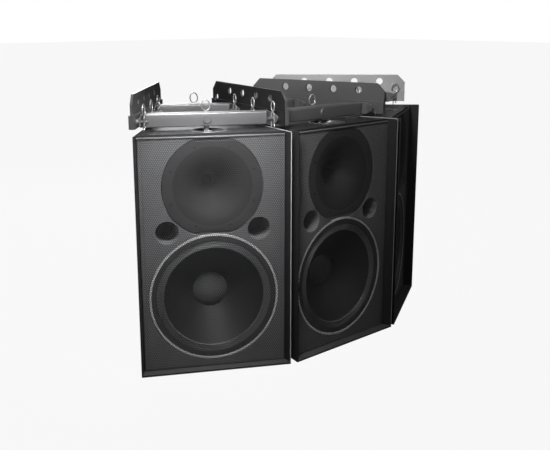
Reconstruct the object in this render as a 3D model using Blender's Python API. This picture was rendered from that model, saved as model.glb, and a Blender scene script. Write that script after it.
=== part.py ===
"""Three two-way loudspeaker cabinets, splayed side by side under a pinned steel rigging frame.

Metres, +Z up.  The middle cabinet faces -Y and stands on the origin.
Each cabinet has its own frame: x across, y backwards from the front plane, z up.
"""
import math

import bpy
import bmesh
from mathutils import Matrix, Vector

# cabinet
CAB_W = 0.460            # width across the front tips of the side panels
CAB_H = 0.722
CAB_D = 0.570
TAPER = math.radians(15.0)
SPLAY = math.radians(30.0)
CAB_GAP = 0.023          # clear space between neighbouring side panels
ORIGIN_DEPTH = 0.285     # the origin lies this far behind the front plane
PANEL_T = 0.015
WING_D = 0.0345          # the side panels reach this far in front of the top panel
WING_T = 0.0035
LEDGE_T = 0.006
EDGE_R = 0.002
FIT = 0.0003             # gap between touching pieces

# front of a cabinet
GRILLE_Y0 = 0.0300
GRILLE_Y1 = 0.0340
GRILLE_SHEET = 0.0015
GRILLE_RIM = 0.008
GRILLE_TOP_DROP = 0.0065
BAFFLE_Y0 = 0.0415
BAFFLE_T = 0.015
WOOFER_Z = 0.2245
WOOFER_RING_R = 0.197
WOOFER_HOLE_R = 0.182
HORN_Z = CAB_H - 0.1575
HORN_FLANGE_R = 0.1505
HORN_FLAT = 0.1335       # half distance between the flange's flat top and bottom
HORN_MOUTH_R = 0.119
HORN_HOLE_R = 0.1245
PORT_X = 0.138
PORT_Z = CAB_H - 0.290
PORT_R = 0.0340
PORT_WALL = 0.0025
PORT_LEN = 0.080
FLANGE_T = 0.005

# rigging
PLATE_Z0 = 0.013         # underside of the side plates, above the cabinets
TUBE_S = 0.040
TUBE_WALL = 0.003
TUBE_YS = (0.140, 0.392)
TUBE_Z = CAB_H + 0.030
TUBE_NOTCH = 0.028       # length of the open tube end, from the plate's middle plane
TUBE_NOTCH_BACK = 0.008
LUG_T = 0.005            # end lug that takes the plate's spigot
LUG_TALL = 0.0185
LUG_NOSE = 0.011
LUG_REACH = 0.0515       # lug nose, in front of the tube's middle
BOSS_R = 0.0125
BOSS_PROUD = 0.004
PIN_R = 0.006
PIN_HOLE_R = 0.0022
STUB_LEN = 0.026
PLATE_A0 = 0.056
PLATE_A1 = 0.571
PLATE_TOP = CAB_H + 0.112
PLATE_T = 0.007
PLATE_CHAMFER = 0.027
BAR_T = 0.018
BAR_H = 0.040
PLATE_HOLES = ((0.152, 0.0875), (0.247, 0.0875), (0.342, 0.0875), (0.437, 0.0875), (0.540, 0.059))
PLATE_HOLE_R = 0.01225
SPIGOT_LEN = 0.040
SPIGOT_AHEAD = 0.040     # spigots lie this far in front of the tube's middle
MID_SPIGOT = 0.232       # distance of the middle spigot along the plate
CLIP_SIDE = (1, -1, 1, -1)  # side of each plate that has spigots and clips
SPIGOT_CLIP = 0.026      # clip hole, from the plate's middle plane
WASHER_R = 0.011
WASHER_T = 0.004
RIVET_T = 0.003

# pan fittings and clips
PAN_R = 0.050
PAN_FLANGE_R = 0.058
PAN_FLANGE_T = 0.0015
PAN_DEPTH = 0.012
PAN_AHEAD = 0.035        # pan centre, in front of the tube's middle
PAN_STUD_R = 0.008
PAN_STUD_BACK = 0.033
CLIP_WIRE = 0.0019
CLIP_BOTTOM = -0.0275
CLIP_RING_Z = 0.036
CLIP_RING_WIDE = 0.0122
CLIP_RING_TALL = 0.0160

SEG_BIG = 28
SEG_MID = 16
SEG_SMALL = 8
CABINETS = (("left", -1), ("middle", 0), ("right", 1))


# ---------- materials and objects ----------

def material(name, rgb, roughness, metallic=0.0):
    mat = bpy.data.materials.new(name)
    mat.use_nodes = True
    shader = mat.node_tree.nodes["Principled BSDF"]
    shader.inputs["Base Color"].default_value = (*rgb, 1.0)
    shader.inputs["Roughness"].default_value = roughness
    shader.inputs["Metallic"].default_value = metallic
    return mat


def make_object(name, bm, look, frame, smooth):
    """Turn a bmesh into a named object that sits at the given frame matrix."""
    bmesh.ops.recalc_face_normals(bm, faces=bm.faces)
    for face in bm.faces:
        face.smooth = smooth
    mesh = bpy.data.meshes.new(name)
    bm.to_mesh(mesh)
    bm.free()
    obj = bpy.data.objects.new(name, mesh)
    mesh.materials.append(material(name + "_paint", *look))
    bpy.context.scene.collection.objects.link(obj)
    obj.location = frame.to_translation()
    obj.rotation_euler = frame.to_euler()
    if smooth:
        mesh.set_sharp_from_angle(angle=math.radians(35.0))
    return obj


def boolean(bm, other, operation):
    """Return the exact boolean of two closed bmeshes."""
    meshes = []
    for part in (bm, other):
        bmesh.ops.recalc_face_normals(part, faces=part.faces)
        mesh = bpy.data.meshes.new("scratch")
        part.to_mesh(mesh)
        part.free()
        meshes.append(mesh)
    base = bpy.data.objects.new("scratch_base", meshes[0])
    tool = bpy.data.objects.new("scratch_tool", meshes[1])
    tool.hide_render = True
    tool.display_type = "WIRE"
    for obj in (base, tool):
        bpy.context.scene.collection.objects.link(obj)
    mod = base.modifiers.new("boolean", "BOOLEAN")
    mod.operation = operation
    mod.solver = "EXACT"
    mod.object = tool
    graph = bpy.context.evaluated_depsgraph_get()
    result = bmesh.new()
    result.from_mesh(base.evaluated_get(graph).to_mesh())
    for obj in (base, tool):
        bpy.data.objects.remove(obj)
    for mesh in meshes:
        bpy.data.meshes.remove(mesh)
    bmesh.ops.remove_doubles(result, verts=result.verts, dist=1e-6)
    return result


def cut(bm, *tools):
    for tool in tools:
        bm = boolean(bm, tool, "DIFFERENCE")
    return bm


def join(bm, *tools):
    for tool in tools:
        bm = boolean(bm, tool, "UNION")
    return bm


# ---------- simple solids ----------

def prism(plan, z0, z1):
    """Closed prism over a plan outline."""
    bm = bmesh.new()
    low = [bm.verts.new((x, y, z0)) for x, y in plan]
    high = [bm.verts.new((x, y, z1)) for x, y in plan]
    bm.faces.new(low[::-1])
    bm.faces.new(high)
    count = len(plan)
    for i in range(count):
        j = (i + 1) % count
        bm.faces.new((low[i], low[j], high[j], high[i]))
    return bm


def box(x0, x1, y0, y1, z0, z1):
    return prism([(x0, y0), (x1, y0), (x1, y1), (x0, y1)], z0, z1)


def revolve(profile, segments):
    """Solid of revolution about Y from a closed (radius, y) outline."""
    bm = bmesh.new()
    rings = []
    for radius, y in profile:
        if radius < 1e-7:
            rings.append([bm.verts.new((0.0, y, 0.0))])
            continue
        ring = []
        for i in range(segments):
            angle = 2 * math.pi * i / segments
            ring.append(bm.verts.new((radius * math.cos(angle), y, radius * math.sin(angle))))
        rings.append(ring)
    for a, b in zip(rings, rings[1:] + rings[:1]):
        for i in range(segments):
            j = (i + 1) % segments
            if len(a) == 1 and len(b) == 1:
                break
            if len(a) == 1:
                bm.faces.new((a[0], b[i], b[j]))
            elif len(b) == 1:
                bm.faces.new((a[i], b[0], a[j]))
            else:
                bm.faces.new((a[i], b[i], b[j], a[j]))
    return bm


def shaft(steps, axis, segments, centre=(0.0, 0.0, 0.0)):
    """Stepped round shaft along X, Y or Z: each step is (radius, start, end) along that axis."""
    profile = [(0.0, steps[0][1])]
    for radius, start, end in steps:
        profile += [(radius, start), (radius, end)]
    profile.append((0.0, steps[-1][2]))
    bm = revolve(profile, segments)
    turn = {"X": Matrix.Rotation(-math.pi / 2, 4, "Z"),
            "Y": Matrix.Identity(4),
            "Z": Matrix.Rotation(math.pi / 2, 4, "X")}[axis]
    bmesh.ops.transform(bm, matrix=Matrix.Translation(centre) @ turn, verts=bm.verts)
    return bm


def rod(radius, start, end, axis, segments, centre=(0.0, 0.0, 0.0)):
    return shaft([(radius, start, end)], axis, segments, centre)


def bevel_all(bm, width, segments):
    bmesh.ops.bevel(bm, geom=list(bm.edges), offset=width, offset_type="OFFSET",
                    segments=segments, profile=0.5, affect="EDGES", clamp_overlap=True)
    return bm


# ---------- frames ----------

def turned(angle, point):
    return Matrix.Translation(point) @ Matrix.Rotation(angle, 4, "Z")


def cabinet_frame(side):
    """Frame of a cabinet: -1 left, 0 middle, 1 right."""
    if side == 0:
        return turned(0.0, (0.0, -ORIGIN_DEPTH, 0.0))
    normal = Vector((side * math.cos(TAPER), math.sin(TAPER), 0.0))
    corner = Vector((side * CAB_W / 2, -ORIGIN_DEPTH, 0.0)) + normal * CAB_GAP
    spin = Matrix.Rotation(side * SPLAY, 4, "Z")
    start = corner - spin @ Vector((-side * CAB_W / 2, 0.0, 0.0))
    return turned(side * SPLAY, start)


def plate_frame(index):
    """Frame of a side plate, 0 to 3 from the left: y runs back along the plate."""
    side = -1 if index < 2 else 1
    cabinet = (-1, 0, 0, 1)[index]
    frame = cabinet_frame(cabinet)
    normal = Vector((side * math.cos(TAPER), math.sin(TAPER), 0.0))
    tip = Vector((side * CAB_W / 2, 0.0, 0.0)) + normal * (CAB_GAP / 2)
    return frame @ turned(side * TAPER, tip)


def half_width(y, inset):
    """Half width of a cabinet at depth y, measured to a surface inset from the outer wall."""
    return CAB_W / 2 - y * math.tan(TAPER) - inset / math.cos(TAPER)


def slab(y0, y1, inset, z0, z1):
    """Trapezoid slab between two depths, parallel to the cabinet walls."""
    a = half_width(y0, inset)
    b = half_width(y1, inset)
    return prism([(-a, y0), (a, y0), (b, y1), (-b, y1)], z0, z1)


# ---------- cabinet pieces ----------

def build_enclosure(tag, frame):
    bm = bevel_all(slab(0.0, CAB_D, 0.0, 0.0, CAB_H), EDGE_R, 2)
    recess = slab(-0.01, WING_D, WING_T, LEDGE_T, CAB_H + 0.01)
    cavity = slab(WING_D - 0.001, CAB_D - PANEL_T, PANEL_T, PANEL_T, CAB_H - PANEL_T)
    bm = cut(bm, recess, cavity)
    for y in TUBE_YS:
        hole = rod(PAN_R + 2 * FIT, CAB_H - 0.03, CAB_H + 0.01, "Z", SEG_MID, (0.0, y - PAN_AHEAD, 0.0))
        bm = cut(bm, hole)
    bm = cut(bm, box(-0.0405, 0.0405, CAB_D - 0.03, CAB_D + 0.01, 0.1445, 0.2555))
    return make_object("enclosure_" + tag, bm, ((0.03, 0.03, 0.032), 0.5), frame, False)


def build_baffle(tag, frame):
    y1 = BAFFLE_Y0 + BAFFLE_T
    bm = slab(BAFFLE_Y0, y1, PANEL_T + FIT, PANEL_T + FIT, CAB_H - PANEL_T - FIT)
    for x in (-PORT_X, PORT_X):
        bm = join(bm, rod(PORT_R + PORT_WALL, BAFFLE_Y0 + 0.002, y1 + PORT_LEN, "Y", SEG_MID, (x, 0.0, PORT_Z)))
        bm = cut(bm, rod(PORT_R, 0.0, 0.3, "Y", SEG_MID, (x, 0.0, PORT_Z)))
    bm = cut(bm, rod(WOOFER_HOLE_R, 0.0, 0.1, "Y", SEG_BIG, (0.0, 0.0, WOOFER_Z)),
             rod(HORN_HOLE_R, 0.0, 0.1, "Y", SEG_BIG, (0.0, 0.0, HORN_Z)))
    return make_object("baffle_" + tag, bm, ((0.022, 0.022, 0.024), 0.6), frame, False)


def build_grille(tag, frame):
    top = CAB_H - GRILLE_TOP_DROP
    low = LEDGE_T + FIT
    inset = WING_T + 2 * FIT
    bm = slab(GRILLE_Y0, GRILLE_Y1, inset, low, top)
    pocket = slab(GRILLE_Y0 + GRILLE_SHEET, GRILLE_Y1 + 0.01, inset + GRILLE_RIM,
                  low + GRILLE_RIM, top - GRILLE_RIM)
    return make_object("grille_" + tag, cut(bm, pocket), ((0.06, 0.06, 0.062), 0.45), frame, False)


def build_horn(tag, frame):
    """Round flange with flat top and bottom, and a flare down to the driver's throat."""
    f = -FLANGE_T
    flare = ((HORN_MOUTH_R, f), (0.098, 0.010), (0.066, 0.035), (0.036, 0.075), (0.019, 0.130))
    inside = [(r, y) for r, y in flare]
    outside = [(r + 0.004, y + 0.003) for r, y in flare[1:-1]][::-1]
    profile = inside + [(0.040, 0.130), (0.040, 0.122), (0.026, 0.120)] + outside
    profile += [(HORN_HOLE_R - 0.002, 0.004), (HORN_HOLE_R - 0.002, -FIT)]
    profile += [(HORN_FLANGE_R, -FIT), (HORN_FLANGE_R, f)]
    bm = revolve(profile, SEG_BIG)
    for sign in (-1, 1):
        z0, z1 = sorted((sign * HORN_FLAT, sign * 0.2))
        bm = cut(bm, box(-0.2, 0.2, f - 0.01, 0.0, z0, z1))
    place = frame @ Matrix.Translation((0.0, BAFFLE_Y0, HORN_Z))
    return make_object("horn_" + tag, bm, ((0.02, 0.02, 0.02), 0.5), place, True)


def build_driver(tag, frame):
    """Compression driver bolted behind the horn's throat."""
    profile = [(0.0, 0.0), (0.040, 0.0), (0.044, 0.012), (0.075, 0.014), (0.075, 0.052),
               (0.058, 0.056), (0.050, 0.070), (0.0, 0.072)]
    place = frame @ Matrix.Translation((0.0, BAFFLE_Y0 + 0.130 + FIT, HORN_Z))
    return make_object("compression_driver_" + tag, revolve(profile, SEG_MID),
                       ((0.05, 0.05, 0.055), 0.4, 0.6), place, True)


def build_woofer_frame(tag, frame):
    """Mounting ring, basket and magnet of the woofer."""
    profile = [(WOOFER_RING_R, -FLANGE_T), (WOOFER_RING_R, -FIT), (WOOFER_HOLE_R - 0.001, -FIT),
               (WOOFER_HOLE_R - 0.001, 0.012), (0.100, 0.118), (0.092, 0.122), (0.092, 0.165),
               (0.0, 0.165), (0.0, 0.125), (0.080, 0.123), (0.090, 0.112),
               (0.1752, 0.010), (0.1752, -0.004), (0.180, -FLANGE_T)]
    place = frame @ Matrix.Translation((0.0, BAFFLE_Y0, WOOFER_Z))
    return make_object("woofer_frame_" + tag, revolve(profile, SEG_BIG),
                       ((0.12, 0.12, 0.125), 0.4, 0.3), place, True)


def build_woofer_cone(tag, frame):
    """Pleated surround, cone and dust cap: the piece that moves."""
    front = [(0.1742, -0.001), (0.170, -0.003), (0.164, 0.0), (0.158, -0.003), (0.152, 0.002),
             (0.055, 0.085), (0.050, 0.078), (0.028, 0.068), (0.0, 0.065)]
    back = [(0.0, 0.068), (0.028, 0.071), (0.048, 0.082), (0.048, 0.110), (0.054, 0.110), (0.054, 0.089),
            (0.152, 0.0050), (0.1742, 0.0020)]
    place = frame @ Matrix.Translation((0.0, BAFFLE_Y0, WOOFER_Z))
    return make_object("woofer_cone_" + tag, revolve(front + back, SEG_BIG),
                       ((0.02, 0.02, 0.022), 0.55), place, True)


def build_connector(tag, frame):
    """Cable socket plate on the narrow rear panel."""
    bm = box(-0.050, 0.050, FIT, 0.004, -0.065, 0.065)
    bm = join(bm, box(-0.040, 0.040, -0.030, 0.002, -0.055, 0.055))
    for z in (-0.028, 0.028):
        bm = join(bm, rod(0.018, 0.002, 0.008, "Y", SEG_MID, (0.0, 0.0, z)))
        bm = cut(bm, rod(0.013, -0.012, 0.02, "Y", SEG_MID, (0.0, 0.0, z)))
    place = frame @ Matrix.Translation((0.0, CAB_D, 0.200))
    return make_object("connector_plate_" + tag, bm, ((0.03, 0.03, 0.03), 0.4), place, False)


def build_pan(tag, where, y, frame):
    """Recessed round fitting in the top panel with a stud that carries the cross tube."""
    stud_top = TUBE_Z - TUBE_S / 2 - CAB_H - FIT
    z0 = -PAN_DEPTH
    profile = [(0.0, z0 - 0.003), (PAN_R - 0.006, z0 - 0.003), (PAN_R, z0 + 0.004), (PAN_R, FIT),
               (PAN_FLANGE_R, FIT), (PAN_FLANGE_R - 0.001, PAN_FLANGE_T), (PAN_R - 0.003, PAN_FLANGE_T),
               (PAN_R - 0.006, z0 + 0.003), (0.020, z0), (0.014, -0.003), (0.0, -0.001)]
    bm = revolve(profile, SEG_MID)
    bmesh.ops.transform(bm, matrix=Matrix.Rotation(math.pi / 2, 4, "X"), verts=bm.verts)
    bm = join(bm, rod(PAN_STUD_R, z0 - 0.001, stud_top, "Z", SEG_SMALL, (0.0, PAN_STUD_BACK, 0.0)))
    place = frame @ Matrix.Translation((0.0, y - PAN_AHEAD, CAB_H))
    return make_object("pan_fitting_" + where + "_" + tag, bm, ((0.25, 0.25, 0.26), 0.35, 0.9), place, True)


# ---------- rigging pieces ----------

def tube_half(y, clearance):
    """Half length of a cross tube at depth y, stopping short of the plate's bar."""
    reach = CAB_GAP / 2 - BAR_T / 2 - clearance
    return CAB_W / 2 - y * math.tan(TAPER) + reach / math.cos(TAPER)


def tube_prism(y0, y1, z0, z1, extra):
    a = tube_half(y0, FIT) + extra
    b = tube_half(y1, FIT) + extra
    return prism([(-a, y0), (a, y0), (b, y1), (-b, y1)], z0, z1)


def spigot_place(side, y):
    """Frame at the middle of a side plate, on the spigot at depth y, with x along the spigot."""
    normal = Vector((side * math.cos(TAPER), math.sin(TAPER), 0.0))
    tip = Vector((side * CAB_W / 2, 0.0, 0.0)) + normal * (CAB_GAP / 2)
    return turned(side * TAPER, tip) @ Matrix.Translation((0.0, spigot_along(y), 0.0))


def build_lug(side, y):
    """End plate of a cross tube whose nose reaches forward over the spigot."""
    nose = y - LUG_REACH
    back = y + TUBE_S / 2 - TUBE_WALL / 2
    outline = ((back, -LUG_TALL), (back, LUG_TALL), (nose + 0.024, LUG_TALL), (nose, LUG_NOSE),
               (nose, -LUG_NOSE), (nose + 0.024, -LUG_TALL))
    clear = WASHER_T + 2 * FIT
    bm = bmesh.new()
    outer = [bm.verts.new((side * tube_half(d, clear), d, z)) for d, z in outline]
    inner = [bm.verts.new((side * tube_half(d, clear + LUG_T), d, z)) for d, z in outline]
    bm.faces.new(outer)
    bm.faces.new(inner[::-1])
    for i in range(len(outline)):
        j = (i + 1) % len(outline)
        bm.faces.new((outer[i], outer[j], inner[j], inner[i]))
    hole = rod(PIN_R + 2 * FIT, -0.05, 0.05, "X", SEG_MID)
    bmesh.ops.transform(hole, matrix=spigot_place(side, y - SPIGOT_AHEAD), verts=hole.verts)
    return cut(bm, hole)


def build_tube(tag, where, y, frame):
    """Square cross tube with open front corners, end lugs and a welded cross pin."""
    h = TUBE_S / 2
    i = h - TUBE_WALL
    bm = tube_prism(y - h, y + h, -h, h, 0.0)
    bm = cut(bm, tube_prism(y - i, y + i, -i, i, 0.01))
    for side in (-1, 1):
        plan = []
        for depth in (y - h - 0.005, y + TUBE_NOTCH_BACK):
            near = side * (tube_half(depth, FIT) - TUBE_NOTCH + BAR_T / 2)
            far = side * (tube_half(depth, FIT) + 0.02)
            plan += [(near, depth), (far, depth)] if not plan else [(far, depth), (near, depth)]
        bm = cut(bm, prism(plan, -h - 0.01, h + 0.01))
        bm = join(bm, build_lug(side, y))
    seat = y - h + TUBE_WALL / 2
    bm = join(bm, shaft([(BOSS_R, y - h - BOSS_PROUD, seat), (PIN_R, seat, y + h + STUB_LEN)], "Y", SEG_MID))
    clip_y = y + h + STUB_LEN / 2
    bm = cut(bm, rod(PIN_HOLE_R, -0.01, 0.01, "Z", SEG_SMALL, (0.0, clip_y, 0.0)))
    bmesh.ops.translate(bm, vec=(0.0, -y, 0.0), verts=bm.verts)
    place = frame @ Matrix.Translation((0.0, y, TUBE_Z))
    return make_object("cross_tube_" + where + "_" + tag, bm, ((0.20, 0.20, 0.205), 0.45, 0.3), place, False)


def spigot_along(y):
    """Distance along a side plate at which a tube at depth y meets it."""
    return (y - CAB_GAP / 2 * math.sin(TAPER)) / math.cos(TAPER)


def spigot_spots():
    """Names of a plate's pins and their distances along it."""
    ends = [(where, spigot_along(y - SPIGOT_AHEAD)) for where, y in zip(("front", "rear"), TUBE_YS)]
    return ends + [("centre", MID_SPIGOT)]


def pin_steps(index, side, where):
    """Radius, start and end of a pin's steps, outwards from the plate's middle plane."""
    face = BAR_T / 2
    collar = face + WASHER_T
    if side == CLIP_SIDE[index]:
        steps = [(WASHER_R, PLATE_T, collar), (PIN_R, collar, SPIGOT_LEN)]
    elif index in (1, 2) and where != "centre":
        head = collar + LUG_T + 4 * FIT
        steps = [(WASHER_R, PLATE_T, collar), (PIN_R, collar, head), (WASHER_R, head, head + RIVET_T)]
    else:
        steps = [(WASHER_R, PLATE_T, face + RIVET_T)]
    return [(radius, side * start, side * end) for radius, start, end in steps]


def build_plate(index):
    """Side plate with a thick lower bar, lifting holes and welded spigots."""
    c = PLATE_CHAMFER
    z0 = PLATE_Z0
    z1 = PLATE_TOP - CAB_H
    outline = [(PLATE_A0, z0), (PLATE_A1, z0), (PLATE_A1, z1 - c), (PLATE_A1 - c, z1),
               (PLATE_A0 + c, z1), (PLATE_A0, z1 - c)]
    bm = prism(outline, -PLATE_T / 2, PLATE_T / 2)
    stand = Matrix(((0, 0, 1, 0), (1, 0, 0, 0), (0, 1, 0, 0), (0, 0, 0, 1)))
    bmesh.ops.transform(bm, matrix=stand, verts=bm.verts)
    bm = join(bm, box(-BAR_T / 2, BAR_T / 2, PLATE_A0 + 0.0005, PLATE_A1 - 0.0005, z0 + 0.0005, z0 + BAR_H))
    for along, z in PLATE_HOLES:
        bm = cut(bm, rod(PLATE_HOLE_R, -0.02, 0.02, "X", SEG_MID, (0.0, along, z)))
    axis_z = TUBE_Z - CAB_H
    for where, along in spigot_spots():
        centre = (0.0, along, axis_z)
        for side in (-1, 1):
            bm = join(bm, shaft(pin_steps(index, side, where), "X", SEG_MID, centre))
            if side == CLIP_SIDE[index]:
                hole = rod(PIN_HOLE_R, -0.01, 0.01, "Z", SEG_SMALL, (side * SPIGOT_CLIP, along, axis_z))
                bm = cut(bm, hole)
    place = plate_frame(index) @ Matrix.Translation((0.0, 0.0, CAB_H))
    return make_object("side_plate_%d" % (index + 1), bm, ((0.18, 0.18, 0.185), 0.45, 0.3), place, False)


def clip_path():
    """Centre line of an R-clip: straight leg, tear-shaped loop and waved leg."""
    loop_x = 0.0050
    points = [Vector((0.0, 0.0, CLIP_BOTTOM)), Vector((0.0, 0.0, 0.0)), Vector((0.0, 0.0, 0.015))]
    steps = 9
    for i in range(steps + 1):
        angle = math.radians(-50.0 + 280.0 * i / steps)
        lift = 0.0042 * i / steps
        points.append(Vector((loop_x + CLIP_RING_WIDE * math.cos(angle), lift,
                              CLIP_RING_Z + CLIP_RING_TALL * math.sin(angle))))
    for x, z in ((0.0088, 0.015), (0.0098, 0.008), (0.0092, 0.000), (0.0102, -0.009), (0.0088, -0.016),
                 (0.0118, -0.022)):
        points.append(Vector((x, 0.0042, z)))
    return points


def wire(points, radius, sides):
    """Round wire swept along a path that stays close to the XZ plane."""
    bm = bmesh.new()
    rings = []
    for i, point in enumerate(points):
        ahead = points[min(i + 1, len(points) - 1)]
        behind = points[max(i - 1, 0)]
        tangent = (ahead - behind).normalized()
        side = tangent.cross(Vector((0.0, 1.0, 0.0))).normalized()
        up = side.cross(tangent)
        ring = []
        for k in range(sides):
            angle = 2 * math.pi * k / sides
            ring.append(bm.verts.new(point + radius * (math.cos(angle) * side + math.sin(angle) * up)))
        rings.append(ring)
    for a, b in zip(rings, rings[1:]):
        for k in range(sides):
            m = (k + 1) % sides
            bm.faces.new((a[k], a[m], b[m], b[k]))
    bm.faces.new(rings[0][::-1])
    bm.faces.new(rings[-1])
    return bm


def build_clip(name, place):
    bm = wire(clip_path(), CLIP_WIRE, 5)
    return make_object(name, bm, ((0.7, 0.7, 0.72), 0.25, 1.0), place, True)


def build_cabinet(tag, side):
    frame = cabinet_frame(side)
    build_enclosure(tag, frame)
    build_baffle(tag, frame)
    build_grille(tag, frame)
    build_horn(tag, frame)
    build_driver(tag, frame)
    build_woofer_frame(tag, frame)
    build_woofer_cone(tag, frame)
    build_connector(tag, frame)
    for where, y in zip(("front", "rear"), TUBE_YS):
        build_pan(tag, where, y, frame)
        build_tube(tag, where, y, frame)
        pin = frame @ Matrix.Translation((0.0, y + TUBE_S / 2 + STUB_LEN / 2, TUBE_Z))
        build_clip("clip_mid_%s_%s" % (where, tag), pin)


def build_plate_set(index):
    build_plate(index)
    side = CLIP_SIDE[index]
    for where, along in spigot_spots():
        spot = Matrix.Translation((side * SPIGOT_CLIP, along, TUBE_Z))
        turn = Matrix.Rotation(-math.pi / 2, 4, "Z")
        build_clip("clip_end_%s_%d" % (where, index + 1), plate_frame(index) @ spot @ turn)


def build():
    for obj in list(bpy.data.objects):
        bpy.data.objects.remove(obj, do_unlink=True)
    for tag, side in CABINETS:
        build_cabinet(tag, side)
    for index in range(4):
        build_plate_set(index)


build()
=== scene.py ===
"""Finished look of the three-cabinet loudspeaker cluster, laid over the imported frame."""
import math
import bpy
import bmesh
from mathutils import Matrix, Vector


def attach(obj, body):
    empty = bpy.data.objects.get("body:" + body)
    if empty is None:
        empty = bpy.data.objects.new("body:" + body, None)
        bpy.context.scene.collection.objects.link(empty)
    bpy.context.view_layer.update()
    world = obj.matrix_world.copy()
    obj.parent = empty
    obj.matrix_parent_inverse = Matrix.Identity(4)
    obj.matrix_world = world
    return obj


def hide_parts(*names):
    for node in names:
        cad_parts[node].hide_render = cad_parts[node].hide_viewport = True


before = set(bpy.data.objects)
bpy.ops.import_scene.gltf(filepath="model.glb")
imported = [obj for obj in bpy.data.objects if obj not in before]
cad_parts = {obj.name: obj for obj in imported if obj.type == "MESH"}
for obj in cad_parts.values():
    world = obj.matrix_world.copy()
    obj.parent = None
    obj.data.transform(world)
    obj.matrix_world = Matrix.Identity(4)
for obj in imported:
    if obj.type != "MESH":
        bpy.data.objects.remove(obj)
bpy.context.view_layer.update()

# cabinet, in its own frame: x across, y back from the front plane, z up (metres)
CAB_W, CAB_H, CAB_D = 0.460, 0.722, 0.570
TAPER, SPLAY = math.radians(15.0), math.radians(30.0)
CAB_GAP = 0.023
ORIGIN_DEPTH = 0.285
PANEL_T = 0.015
WING_D, WING_T, LEDGE_T = 0.0345, 0.0035, 0.006
GRILLE_Y0, GRILLE_Y1, GRILLE_TOP_DROP = 0.0300, 0.0340, 0.0065
GRILLE_BORDER, HOLE_PITCH, HOLE_R = 0.0040, 0.0064, 0.0029
BAFFLE_Y0, BAFFLE_T = 0.0415, 0.015
WOOFER_Z, WOOFER_RING_R, WOOFER_HOLE_R = 0.2245, 0.197, 0.182
HORN_Z, HORN_FLANGE_R, HORN_FLAT = CAB_H - 0.1575, 0.1505, 0.1335
HORN_MOUTH_R, HORN_HOLE_R = 0.119, 0.1245
PORT_X, PORT_Z, PORT_R, PORT_RIM, PORT_LEN = 0.138, CAB_H - 0.290, 0.034, 0.0375, 0.080
FLANGE_T = 0.005
HORN_THROAT_R, HORN_DEEP, HORN_SKIN, HORN_DRIVER_Y = 0.019, 0.134, 0.0025, 0.1303
HORN_SCREWS, HORN_SCREW_R, HORN_SCREW_RING = 8, 0.0042, 0.1355
CONE_EDGE_R, CONE_NECK_R, CONE_DEEP = 0.1526, 0.0535, 0.0832
CONE_RIBS, CONE_RIB_H, PLEATS, PLEAT_H = 16, 0.00022, 5, 0.0014
CAP_R, CAP_RISE, CAP_ARC, CAP_Y = 0.0522, 0.0300, math.radians(62.0), 0.0655
SOCKET_Z, SOCKET_HOLE_Z, SOCKET_SCREW_X, SOCKET_SCREW_Z = 0.200, 0.028, 0.043, 0.058
SOCKET_OPEN = (-0.0405, 0.0405, 0.1445, 0.2555)
# insets and proud height of the thin strips that carry a painted highlight along the right-hand panel's edges
EDGE_NEAR, EDGE_FAR, EDGE_PROUD = 0.0003, 0.0030, 0.0020

# rigging
PLATE_Z0, BAR_H = 0.013, 0.040
TUBE_S, TUBE_WALL = 0.040, 0.003
TUBE_YS = (0.140, 0.392)
TUBE_Z = CAB_H + 0.030
TUBE_NOTCH, TUBE_NOTCH_BACK = 0.028, 0.008
LUG_T, LUG_TALL, LUG_NOSE, LUG_REACH = 0.005, 0.0185, 0.011, 0.0515
BOSS_R, BOSS_PROUD, PIN_R, STUB_LEN = 0.0125, 0.004, 0.006, 0.026
PLATE_A0, PLATE_A1, PLATE_TOP = 0.056, 0.571, CAB_H + 0.112
PLATE_T, PLATE_CHAMFER, BAR_T = 0.007, 0.027, 0.018
PLATE_HOLES = ((0.152, 0.0875), (0.247, 0.0875), (0.342, 0.0875), (0.437, 0.0875), (0.540, 0.059))
PLATE_HOLE_R = 0.01225
SPIGOT_AHEAD, MID_SPIGOT = 0.040, 0.232
CLIP_SIDE = (1, -1, 1, -1)
SPIGOT_LEN, SPIGOT_CLIP, WASHER_R, WASHER_T, RIVET_T = 0.040, 0.026, 0.011, 0.004, 0.003
PAN_R, PAN_FLANGE_R, PAN_DEPTH = 0.050, 0.058, 0.012
PAN_AHEAD, PAN_STUD_R, PAN_STUD_BACK = 0.035, 0.008, 0.033
CLIP_WIRE, CLIP_BOTTOM, CLIP_RING_Z = 0.0019, -0.0275, 0.036
CLIP_RING_WIDE, CLIP_RING_TALL, CLIP_LOOP_X, CLIP_LEG_GAP = 0.0122, 0.0160, 0.0050, 0.0042
CLIP_LEG = ((0.0088, 0.015), (0.0098, 0.008), (0.0092, 0.000),
            (0.0102, -0.009), (0.0088, -0.016), (0.0118, -0.022))
CLIP_HOLE_R = 0.0021
CABINETS = (("left", -1), ("middle", 0), ("right", 1))

# segments of large and medium rounds, the clearance between fitted parts, and a cutter's overrun
ROUND = 72
MID = 40
FIT = 0.0003
OVER = 0.01
SMOOTH_ANGLE, BEVEL_ANGLE = math.radians(38.0), math.radians(30.0)
GLOSS_SPREAD, BUMP_DEPTH, BLOTCH_SCALE = 0.08, 0.0004, 9.0


# ---------- materials ----------

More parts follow.
